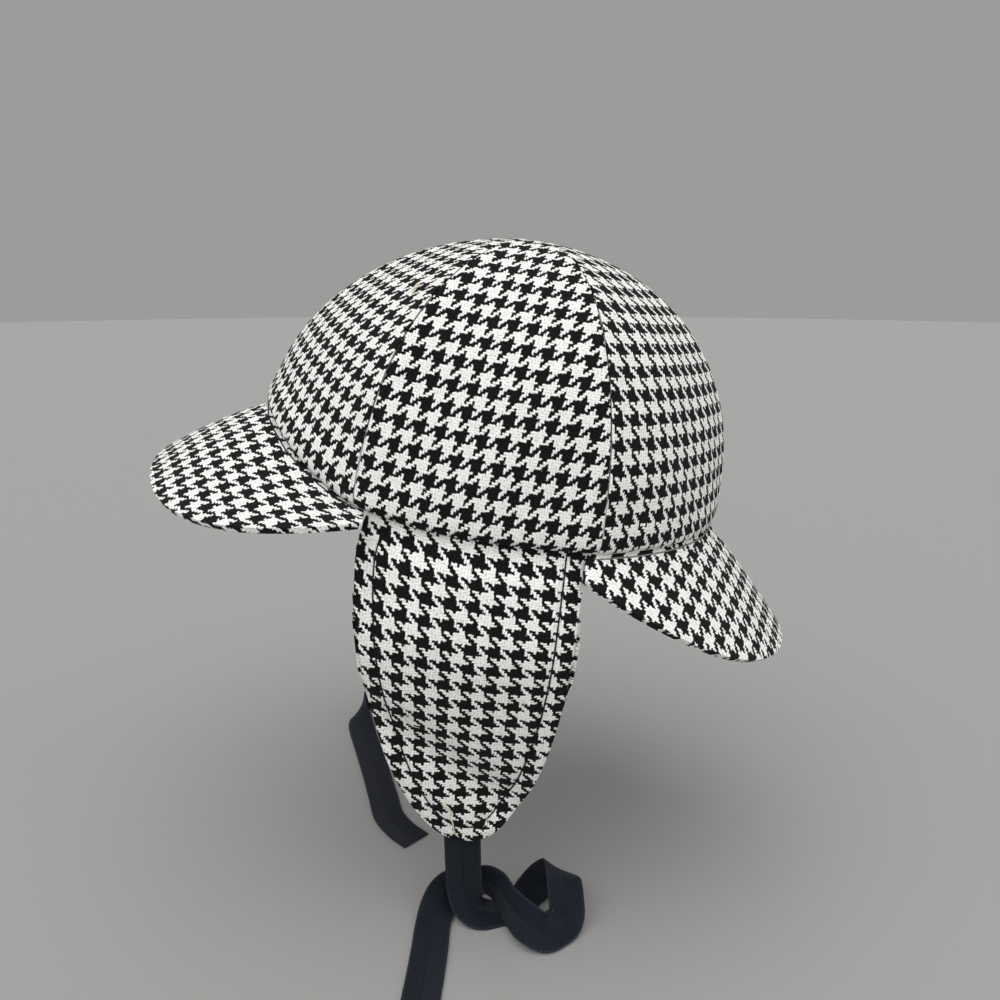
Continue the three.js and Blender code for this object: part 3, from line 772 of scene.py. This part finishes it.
def column_at(x, drop):
    """The flap's column and row at a point of its pattern."""
    low, high = 0.0, 1.0
    for _ in range(24):
        c = (low + high) / 2
        tip = max(1 - abs(2 * c - 1) ** FLAP_TIP_FULLNESS, 0) ** (1 / FLAP_TIP_FULLNESS)
        length = FLAP_STRAIGHT + (FLAP_LENGTH - FLAP_STRAIGHT) * tip
        r = TUCK_SHARE + (1 - TUCK_SHARE) * min(drop / length, 1)
        low, high = (c, high) if flap_pattern(c, r)[0] < x else (low, c)
    return c, r


def topstitch(name, side):
    """One row of stitches round the flap, sunk in the wool and dipping between stitches."""
    outline = [p for p, _, _ in flap_outline(150)]
    inner = []
    for before, here, after in zip(outline, outline[1:], outline[2:]):
        along = (after - before).normalized()
        inner.append(here + Vector((along.y, -along.x)) * STITCH_INSET)
    inner = [p for p in inner if p.y > 1 and edge_distance(p.x, p.y) > STITCH_INSET - 0.25]
    runs = [0.0]
    for a, b in zip(inner, inner[1:]):
        runs.append(runs[-1] + (b - a).length)
    path, k = [], 0
    steps = round(runs[-1] / 0.36)
    for i in range(steps + 1):
        run = runs[-1] * i / steps
        while k < len(runs) - 2 and runs[k + 1] < run:
            k += 1
        flat = inner[k].lerp(inner[k + 1], (run - runs[k]) / max(runs[k + 1] - runs[k], 1e-6))
        depth, _ = flap_relief(flat.x, flat.y, STITCH_INSET, side)
        dip = abs(math.cos(math.pi * run / STITCH_LENGTH)) ** 8
        c, r = column_at(flat.x, flat.y)
        path.append(mirrored(flap_point(c, r, depth - 0.3 + 0.3 * dip), side))
    thread_line(name, path, SEWING_THREAD / 2, black_thread)


for name, side in (("left_ear_flap", -1), ("right_ear_flap", 1)):
    ear_flap(name, side)
    topstitch(name + "_topstitch", side)


# ---------------------------------------------------------------- loose strands
def loose_strand(name, points, radius):
    thread_line(name, [catmull(points, i / 24) for i in range(25)], radius, cream_yarn)


for name, spots, radius in (
    ("loose_yarn_at_tip",
     ((-12.5, 123.5, 0), (-10.9, 127.5, 0.7), (-10.3, 131.5, 1.1), (-9.9, 134.5, 0.6), (-8, 137, 0.1)), 0.32),
    ("loose_yarn_beside_tip", ((-15.5, 118, 0), (-12.5, 119.5, 0.9), (-11.2, 123, 0.5), (-12, 126, 0)), 0.38),
    ("loose_fibre_low", ((2, 131, 0), (4.5, 128, 1.6), (3, 124, 1.1), (-1, 125, 0)), 0.12),
    ("loose_fibre_middle", ((13, 62, 0), (17, 60.5, 1.3), (20, 63, 1.0), (18, 66, 0)), 0.12),
    ("loose_fibre_front", ((-24, 70, 0), (-27.5, 72, 1.5), (-25.5, 77, 1.2), (-22, 78.5, 0)), 0.12),
):
    loose_strand(name, [flap_point(*column_at(x, drop), -0.15 - lift) for x, drop, lift in spots], radius)
spots = ((50.5, 0.86, 0), (51.5, 0.885, 0.8), (52.6, 0.875, 0.6), (52.2, 0.845, 0.9), (53.4, 0.835, 0))
loose_strand("loose_yarn_on_crown",
             [PITCH @ crown_point(math.radians(angle), rise, -0.2 - lift, 0) for angle, rise, lift in spots], 0.45)


# ---------------------------------------------------------------- stage and light
bpy.ops.object.select_all(action="DESELECT")
bpy.ops.mesh.primitive_circle_add(vertices=96, radius=6, fill_type="NGON", location=(0, 0, -SURFACE_DROP * MM))
floor = bpy.context.object
floor.name = "floor"
plaster, tree = new_material("pale_matt_floor")
shader = add(tree, "ShaderNodeBsdfPrincipled", {"Base Color": linear("#989796"), "Roughness": 0.95,
                                                "Specular IOR Level": 0.1})
add(tree, "ShaderNodeOutputMaterial", {0: shader})
floor.data.materials.append(plaster)
floor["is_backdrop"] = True

world = bpy.data.worlds.new("soft_room")
bpy.context.scene.world = world
world.use_nodes = True
world.node_tree.nodes["Background"].inputs[0].default_value = linear("#9d9c9b")
world.node_tree.nodes["Background"].inputs[1].default_value = 1.0

# Studio light: a broad soft light overhead, and weaker ones from the sides and behind
for name, towards, strength, spread in (
    ("overhead", (-0.15, -0.35, 1.0), 2.1, 70),
    ("left_fill", (-0.9, -1.0, 0.3), 0.9, 90),
    ("right_fill", (1.0, -0.75, 0.35), 1.15, 90),
    ("back_fill", (0.3, 1.0, 0.6), 0.4, 90),
):
    lamp = bpy.data.lights.new(name, "SUN")
    lamp.energy = strength
    lamp.angle = math.radians(spread)
    light = bpy.data.objects.new(name, lamp)
    bpy.context.collection.objects.link(light)
    light.rotation_euler = Vector(towards).to_track_quat("Z", "Y").to_euler()
bpy.context.scene.view_settings.view_transform = "Standard"

lists = [[list(map(float, corner)) for corner in box] for box in (cad_box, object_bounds())]
